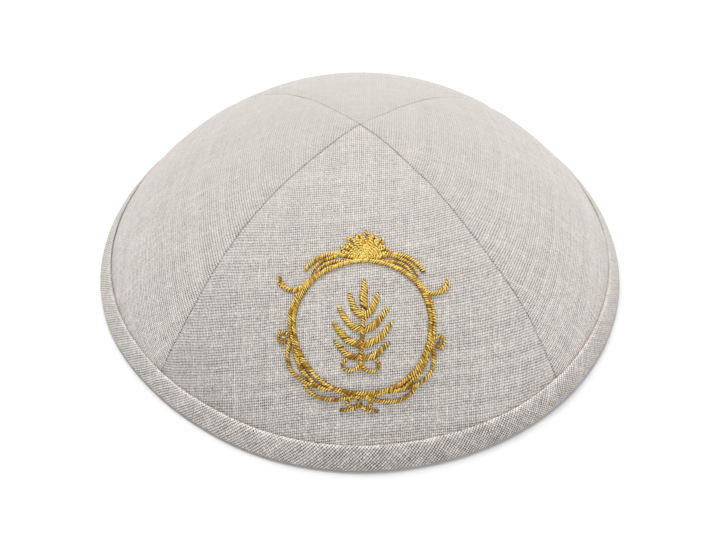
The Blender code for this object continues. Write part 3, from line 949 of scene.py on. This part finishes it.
def inner_leg():
    """Points of the inner leg, up its face and down its hidden side."""
    face = foot_of(INNER_IN) - BINDING_TOP
    rows = [(BINDING_TOP + face * share, INNER_IN, math.sin(math.pi * share))
            for share in np.linspace(1.0, 0.1, 8)]
    rows += [(arc, INNER_IN + INNER_OUT - lift, 0.0)
             for arc, lift in reversed(list(fold_rows((INNER_IN + INNER_OUT) / 2)))]
    rows += [(BINDING_TOP + CHANNEL * share, INNER_OUT, 0.0) for share in np.linspace(0.1, 1.0, 6)]
    arcs, lifts, puff = (np.array(column)[:, None] for column in zip(*rows))
    sway = INNER_SWAY * MM * round_rim(30, 505, row=3.5) * (lifts < INNER_OUT)
    slope = arcs / MM * 0.2
    ripple = INNER_RIPPLE * MM * field(STRIP_SHARE * 80 + slope, slope, 506, wrap=80)
    return crown(arcs + sway, STRIP_TURN, lifts - (0.4 * BINDING_PUFF + ripple) * puff)


def make_binding(material):
    """The folded strip round the rim, as one closed ring with its ripples and puckers."""
    outer, fold_light_and_shade = outer_leg()
    foot = strip_foot(np.hypot(outer[-1, :, 0], outer[-1, :, 1]))
    rings = np.concatenate([outer, foot, inner_leg()])
    count = len(rings)
    number = np.arange(count * BINDING_COLUMNS).reshape(count, BINDING_COLUMNS)
    faces = grid_faces(count, BINDING_COLUMNS, closed=True)
    after = np.roll(number, -1, axis=1)
    closing = np.stack([number[-1], after[-1], after[0], number[0]], axis=-1)
    # The fold's painted highlight varies patchily round the rim
    patchy = 0.75 + 0.35 * round_rim(150, 507)
    # Painted shade on the strip, most about its front right
    shade = fold_light_and_shade * patchy - PAINTED_SHADE_BY * near(PAINTED_SHADE_AT, PAINTED_SHADE_REACH)
    shade = np.concatenate([shade.ravel(), np.zeros((count - len(fold_light_and_shade)) * BINDING_COLUMNS)])

    # The strip is cut on the bias, so its threads run at 45 degrees to the rim
    step = np.linalg.norm(np.diff(rings[:, 0], axis=0), axis=-1) / MM
    length = np.concatenate(([0], np.cumsum(step)))[:, None]
    along = STRIP_TURN * RIM_DIAMETER / 2 / MM
    bias = math.sqrt(0.5)
    uv = np.stack([(along - length) * bias, (along + length) * bias], axis=-1)
    weave = np.tile(WEAVE_STRIP * facing(STRIP_TURN) ** STRIP_FADE, count)
    piece = make_mesh("bias_binding", rings.reshape(-1, 3), [np.vstack([faces, closing])],
                      uv.reshape(-1, 2), material, "rim_binding", "binding_linen", shade=shade,
                      weave_depth=weave)
    close_uv_round(piece.data, math.pi * RIM_DIAMETER / MM * bias)
    return piece


def close_uv_round(mesh, full):
    """Run the last column of faces on past the full turn instead of back to the start."""
    loops = np.zeros(len(mesh.loops), np.int32)
    mesh.loops.foreach_get("vertex_index", loops)
    column = loops % BINDING_COLUMNS
    face = np.repeat(np.arange(len(mesh.polygons)), 4)
    last = np.isin(face, face[column == BINDING_COLUMNS - 1])
    layer = mesh.uv_layers["cloth_mm"]
    values = np.zeros(len(loops) * 2, np.float32)
    layer.data.foreach_get("uv", values)
    values = values.reshape(-1, 2)
    values[(column == 0) & last] += full
    layer.data.foreach_set("uv", values.ravel())


# Satin stitches

def unit(vectors):
    """Vectors of length 1 that point the same way."""
    return vectors / np.linalg.norm(vectors, axis=-1, keepdims=True)


def satin(route, width, tip, kind, layer, rng):
    """Stitches side by side over one stroke: their points, UVs, tones and number.

    A point is a place across the panel, up it and off it, in mm.
    """
    count = len(route)
    if kind == "ring":
        ahead, behind = np.roll(route, -1, axis=0), np.roll(route, 1, axis=0)
    else:
        ahead = np.vstack([route[1:], 2 * route[-1] - route[-2]])
        behind = np.vstack([2 * route[0] - route[1], route[:-1]])
    tangent = unit(ahead - behind)
    normal = np.stack([-tangent[:, 1], tangent[:, 0]], axis=-1)
    share = np.arange(count) / max(count - 1, 1)
    taper = 1 - (1 - tip) * share ** 3
    if kind == "petal":
        taper = 0.34 + 0.66 * np.sin(math.pi * np.clip(share, 0.02, 0.93) ** 1.5) ** 0.7
    half = width / 2 * taper * (1 + rng.uniform(-WIDTH_SPREAD, WIDTH_SPREAD, count))
    slant = SLANT + rng.uniform(-SLANT_SPREAD, SLANT_SPREAD, count)
    twist = np.sin(2 * math.pi * (np.arange(count) * STITCH_STEP / TWIST_LENGTH)
                   + np.cumsum(rng.normal(0, TWIST_STRAY, count)))
    uneven = 1 + 0.15 * twist + rng.normal(0, RISE_SPREAD, count)
    rise = RELIEF / MM * 1.1 * (0.86 + 0.14 * taper) * uneven + layer
    route = route + normal * rng.normal(0, ROUTE_STRAY, count)[:, None]

    # Middle line of each stitch, slanted across the stroke and arched over its padding
    t = np.linspace(-1, 1, STITCH_RINGS)
    flat = (route[:, None] + normal[:, None] * (half[:, None] * t)[..., None]
            + tangent[:, None] * (half * slant)[:, None, None] * t[:, None])
    arch = np.sqrt(np.clip(1 - t ** 2, 0, 1)) ** 0.8
    lift = rise[:, None] * arch - END_SINK * (1 - arch) - THREAD_HEIGHT / 2
    centre = np.concatenate([flat, lift[..., None]], axis=-1)

    # Tube round that line, thinner at its two ends
    run = unit(np.gradient(centre, axis=1))
    heading = unit(flat[:, -1] - flat[:, 0])
    side = np.stack([-heading[:, 1], heading[:, 0], np.zeros(count)], axis=-1)[:, None, :]
    side = np.broadcast_to(side, centre.shape)
    up = np.cross(run, side)
    up *= np.sign(up[..., 2:3] + 1e-9)
    around = np.arange(STITCH_SIDES) / STITCH_SIDES * 2 * math.pi
    thick = np.where(np.abs(t) > 0.99, 0.6, 1.0)[:, None, None]
    ring = (side[:, :, None] * np.cos(around)[:, None] * THREAD_WIDTH / 2
            + up[:, :, None] * np.sin(around)[:, None] * THREAD_HEIGHT / 2)
    points = centre[:, :, None] + ring * thick

    along = np.linalg.norm(np.diff(centre, axis=1, prepend=centre[:, :1]), axis=-1)
    along = np.cumsum(along, axis=1) + rng.uniform(0, 20, count)[:, None]
    uv = np.stack(np.broadcast_arrays(along[:, :, None], around / (2 * math.pi)), axis=-1)
    # Each stitch's tone: a random spread, painted highlight and shade that swing with the twist,
    # and painted shade towards the bottom
    tone = STITCH_TONE + TWIST_PAINTED_LIGHT * twist + rng.normal(0, TONE_SPREAD, count)
    shade = np.clip(tone + RISE_PAINTED_LIGHT * route[:, 1], 0, 1)
    shade = np.broadcast_to(shade[:, None, None], points.shape[:3])
    return points.reshape(-1, 3), uv.reshape(-1, 2), shade.reshape(-1), count


def make_embroidery(name, routes, node, material, seed):
    """One embroidered piece from its strokes."""
    rng = np.random.RandomState(seed)
    points, uvs, shades, faces, caps = [], [], [], [], []
    start = 0
    per_stitch = STITCH_RINGS * STITCH_SIDES
    tube = grid_faces(STITCH_RINGS, STITCH_SIDES, closed=True)
    first_cap = np.arange(STITCH_SIDES)[::-1]
    last_cap = np.arange(STITCH_SIDES) + per_stitch - STITCH_SIDES
    for index, (route, width, tip, kind) in enumerate(routes):
        layer = RING_LAYER if kind == "ring" else STROKE_LAYER * (index % 4)
        local, uv, shade, count = satin(route, width, tip, kind, layer, rng)
        starts = start + np.arange(count) * per_stitch
        faces.append((tube + starts[:, None, None]).reshape(-1, 4))
        caps += [first_cap + starts[:, None], last_cap + starts[:, None]]
        start += count * per_stitch
        points.append(local)
        uvs.append(uv)
        shades.append(shade)
    local = np.vstack(points)
    across, arc = on_panel(local[:, 0], local[:, 1])
    arc, across = arc * MM, across * MM
    radius = np.interp(arc, ARC, RADIUS)
    seam = math.pi / 4 * radius - np.abs(across)
    lift = broad_lift(arc, across, seam, PANEL_SEED) + local[:, 2] * MM
    placed = crown(arc, FRONT + across / radius, lift)
    return make_mesh(name, placed, [np.vstack(faces), np.vstack(caps)], np.vstack(uvs), material,
                     node, "gold_thread", shade=np.concatenate(shades))


# Stage

def make_camera():
    """The photograph's own viewpoint, turned so that the cap's seams lie where they should."""
    data = bpy.data.cameras.new("photo_camera")
    data.lens = VIEW_LENS
    data.sensor_width = SENSOR_WIDTH
    data.clip_start = 0.01
    camera = bpy.data.objects.new("photo_camera", data)
    bpy.context.scene.collection.objects.link(camera)
    sin_e, cos_e = math.sin(VIEW_ELEVATION), math.cos(VIEW_ELEVATION)
    place = Vector((
        -VIEW_RIGHT,
        -(VIEW_UP * sin_e + VIEW_DISTANCE * cos_e),
        VIEW_DISTANCE * sin_e - VIEW_UP * cos_e,
    )) * RIM_DIAMETER / 2
    turn = Matrix.Rotation(VIEW_TURN, 4, "Z")
    tilt = Matrix.Rotation(math.pi / 2 - VIEW_ELEVATION, 4, "X")
    camera.matrix_world = turn @ Matrix.Translation(place) @ tilt
    bpy.context.scene.camera = camera


def make_floor():
    """A pale floor with a faint glow, and a painted contact shadow close to the cap."""
    mesh = bpy.data.meshes.new("floor")
    corners = [(x * FLOOR_SIZE, y * FLOOR_SIZE, -FLOOR_DROP)
               for x, y in ((-1, -1), (1, -1), (1, 1), (-1, 1))]
    mesh.from_pydata(corners, [], [(0, 1, 2, 3)])
    shader = Shader(bpy.data.materials.new("pale_floor"))
    # Painted contact shadow: ambient occlusion, leaned towards the back left, darkens the floor's
    # colour and glow near the cap
    contact_shadow = shader.node("ShaderNodeAmbientOcclusion", samples=12)
    contact_shadow.inputs["Distance"].default_value = CONTACT_REACH
    toward = shader.node("ShaderNodeCombineXYZ")
    for socket, value in zip(toward.inputs, CONTACT_TOWARD):
        shader.put(socket, value)
    shader.put(contact_shadow.inputs["Normal"], toward.outputs[0])
    tone = shader.spread(contact_shadow.outputs["AO"], *CONTACT_OPEN, *CONTACT_SHADOW_TONE, kind="LINEAR")
    shade = shader.node("ShaderNodeCombineColor")
    for channel in range(3):
        shader.put(shade.inputs[channel], tone)
    shader.put(shader.surface.inputs["Base Color"], shade.outputs[0])
    shader.put(shader.surface.inputs["Emission Color"], shade.outputs[0])
    mesh.materials.append(shader.finish({
        "Emission Strength": FLOOR_GLOW,
        "Roughness": 0.9,
        "Specular IOR Level": 0.1,
    }))
    floor = bpy.data.objects.new("floor", mesh)
    bpy.context.scene.collection.objects.link(floor)


def make_light():
    """A soft surround, pale at the horizon, and soft suns, most of their light from behind."""
    world = bpy.data.worlds.new("studio")
    bpy.context.scene.world = world
    shader = Shader(world)
    place = shader.node("ShaderNodeTexCoord")
    parts = shader.node("ShaderNodeSeparateXYZ")
    shader.put(parts.inputs[0], place.outputs["Generated"])
    sky = shader.scaled(parts.outputs["X"], WORLD_RIGHT, WORLD_BASE)
    sky = shader.scaled(parts.outputs["Y"], WORLD_BACK, sky)
    low = shader.spread(parts.outputs["Z"], *HORIZON_BAND, 1.0, 0.0)
    paler = shader.math("MULTIPLY", shader.math("SUBTRACT", HORIZON, sky), low)
    background = shader.tree.nodes["Background"]
    shader.put(background.inputs["Strength"], shader.math("ADD", sky, paler))
    background.inputs["Color"].default_value = (1, 1, 1, 1)
    for name, azimuth, elevation, spread, power in SUNS:
        data = bpy.data.lights.new(name, "SUN")
        data.energy = power
        data.angle = math.radians(spread)
        sun = bpy.data.objects.new(name, data)
        bpy.context.scene.collection.objects.link(sun)
        azimuth, elevation = math.radians(azimuth), math.radians(elevation)
        toward = Vector((math.cos(azimuth) * math.cos(elevation),
                         math.sin(azimuth) * math.cos(elevation), math.sin(elevation)))
        sun.rotation_euler = toward.to_track_quat("Z", "Y").to_euler()


def main():
    """Build the cap, its sheets and its stage."""
    bpy.context.scene.view_settings.view_transform = "Standard"
    strip = linen("binding_linen_weave", STRIP_COLOR, STRIP_WEFT_LINE)
    front_cloth = linen("front_panel_linen_weave", PANEL_COLOR, FRONT_WEFT_LINE)
    side_cloth = linen("side_panel_linen_weave", PANEL_COLOR, SIDE_WEFT_LINE)
    gold = gold_thread()
    for index, panel in enumerate(PANELS):
        cloth = front_cloth if panel.name == "front" else side_cloth
        make_panel(panel, index, cloth)
    binding = make_binding(strip)
    make_embroidery("stitched_frame", FRAME_ROUTES, "embroidery_frame", gold, FRAME_SEED)
    make_embroidery("stitched_motif", MOTIF_ROUTES, "embroidery_motif", gold, MOTIF_SEED)
    make_floor()
    make_light()
    make_camera()


main()
